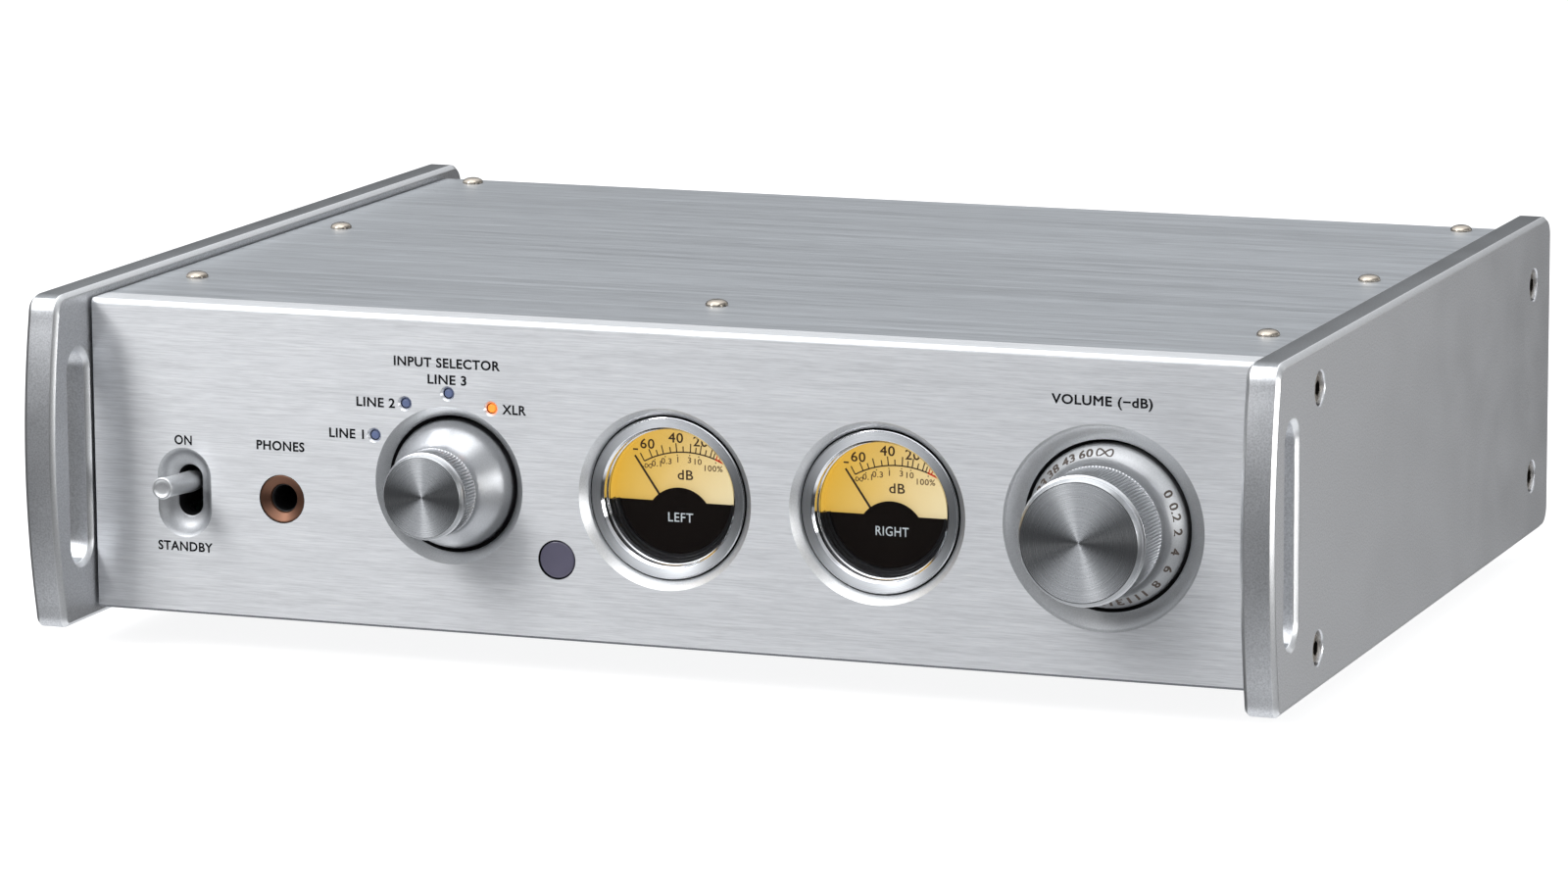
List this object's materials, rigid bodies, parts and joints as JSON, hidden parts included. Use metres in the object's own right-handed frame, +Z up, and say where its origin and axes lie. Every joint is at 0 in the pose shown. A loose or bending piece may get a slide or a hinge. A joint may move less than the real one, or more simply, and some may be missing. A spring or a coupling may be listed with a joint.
{
  "type": "stereo amplifier",
  "caption": "Compact silver stereo amplifier with thick side panels with grip slots, a selector knob, round level meters, a large volume knob, a power lever and rear sockets.",
  "frame": {"origin": "centre of the footprint, on the surface that the feet stand on", "axes": "+X to the right as seen from the front, +Y to the rear, +Z up"},
  "size_m": [0.29, 0.264, 0.0812],
  "materials": {
    "brushed_aluminium": "brushed",
    "blasted_aluminium": "fine bead blast, clear anodised",
    "turned_aluminium": "turned and blasted",
    "chassis_sheet": "satin sheet",
    "rear_black": "fine satin black",
    "nickel_fasteners": "nickel plated",
    "black_metal": "satin black",
    "bright_steel": "ground",
    "polished_chrome": "polished",
    "copper_collar": "turned, copper colour",
    "black_plastic": "moulded",
    "red_plastic": "clear red",
    "gold_contacts": "gold plated",
    "dial_amber": "printed dial",
    "clear_glass": "clear",
    "pointer_black": "matt",
    "lamp_unlit": "tinted",
    "lamp_lit": "glowing orange",
    "window_smoked": "smoked",
    "circuit_board": "solder resist",
    "copper_winding": "taped winding"
  },
  "bodies": {
    "case": {"front_panel": "brushed_aluminium", "top_cover": "brushed_aluminium", "side_panel_left": "blasted_aluminium", "side_panel_right": "blasted_aluminium", "chassis": "chassis_sheet", "rear_panel": "rear_black", "side_bolt_left_front_lower": "nickel_fasteners", "side_bolt_left_front_upper": "nickel_fasteners", "side_bolt_left_rear_lower": "nickel_fasteners", "side_bolt_left_rear_upper": "nickel_fasteners", "side_bolt_right_front_lower": "nickel_fasteners", "side_bolt_right_front_upper": "nickel_fasteners", "side_bolt_right_rear_lower": "nickel_fasteners", "side_bolt_right_rear_upper": "nickel_fasteners", "cover_screw_centre": "nickel_fasteners", "cover_screw_front_left": "nickel_fasteners", "cover_screw_front_right": "nickel_fasteners", "cover_screw_middle_left": "nickel_fasteners", "cover_screw_middle_right": "nickel_fasteners", "cover_screw_rear_left": "nickel_fasteners", "cover_screw_rear_right": "nickel_fasteners", "foot_front_left": "black_metal", "foot_front_right": "black_metal", "foot_rear": "black_metal", "volume_encoder": "black_metal", "selector_encoder": "black_metal", "power_switch": "black_metal", "heatsink": "black_metal", "meter_left_bezel": "polished_chrome", "meter_right_bezel": "polished_chrome", "phones_collar": "copper_collar", "phones_jack": "black_plastic", "mains_inlet": "black_plastic", "balanced_input_left": "black_plastic", "balanced_input_right": "black_plastic", "line_input_block": "gold_contacts", "speaker_terminals": "gold_contacts", "meter_left_movement": "dial_amber", "meter_right_movement": "dial_amber", "meter_left_glass": "clear_glass", "meter_right_glass": "clear_glass", "lamp_line_1": "lamp_unlit", "lamp_line_2": "lamp_unlit", "lamp_line_3": "lamp_unlit", "lamp_balanced": "lamp_lit", "remote_window": "window_smoked", "amplifier_board": "circuit_board", "control_board": "circuit_board", "transformer": "copper_winding"},
    "volume_dial": {"volume_knob": "turned_aluminium", "volume_spindle": "bright_steel"},
    "selector_dial": {"selector_knob": "turned_aluminium", "selector_spindle": "bright_steel"},
    "lever": {"power_lever": "polished_chrome"},
    "pointer_left": {"meter_left_needle": "pointer_black"},
    "pointer_right": {"meter_right_needle": "pointer_black"},
    "cap_left_positive": {"speaker_cap_left_positive": "red_plastic"},
    "cap_left_negative": {"speaker_cap_left_negative": "black_plastic"},
    "cap_right_positive": {"speaker_cap_right_positive": "red_plastic"},
    "cap_right_negative": {"speaker_cap_right_negative": "black_plastic"}
  },
  "joints": [
    {"name": "volume_turn", "type": "hinge", "parent": "case", "child": "volume_dial", "pos_m": [0.1014, -0.1125, 0.0412], "axis": [0, 1, 0], "range_deg": [0, 300]},
    {"name": "selector_turn", "type": "hinge", "parent": "case", "child": "selector_dial", "pos_m": [-0.0502, -0.1125, 0.0412], "axis": [0, 1, 0], "continuous": true},
    {"name": "lever_tilt", "type": "hinge", "parent": "case", "child": "lever", "pos_m": [-0.11475, -0.0795, 0.03575], "axis": [1, 0, 0], "range_deg": [0, 7.6]},
    {"name": "pointer_left_swing", "type": "hinge", "parent": "case", "child": "pointer_left", "pos_m": [0.001, -0.105, 0.0348], "axis": [0, 1, 0], "range_deg": [0, 78], "stiffness_Nm_per_rad": 0.0001},
    {"name": "pointer_right_swing", "type": "hinge", "parent": "case", "child": "pointer_right", "pos_m": [0.0502, -0.105, 0.0348], "axis": [0, 1, 0], "range_deg": [0, 78], "stiffness_Nm_per_rad": 0.0001},
    {"name": "cap_left_positive_screw", "type": "hinge", "parent": "case", "child": "cap_left_positive", "pos_m": [0.008, 0.1058, 0.043], "axis": [0, 1, 0], "range_deg": [0, 1080]},
    {"name": "cap_left_negative_screw", "type": "hinge", "parent": "case", "child": "cap_left_negative", "pos_m": [0.02705, 0.1058, 0.043], "axis": [0, 1, 0], "range_deg": [0, 1080]},
    {"name": "cap_right_positive_screw", "type": "hinge", "parent": "case", "child": "cap_right_positive", "pos_m": [0.048, 0.1058, 0.043], "axis": [0, 1, 0], "range_deg": [0, 1080]},
    {"name": "cap_right_negative_screw", "type": "hinge", "parent": "case", "child": "cap_right_negative", "pos_m": [0.06705, 0.1058, 0.043], "axis": [0, 1, 0], "range_deg": [0, 1080]}
  ]
}
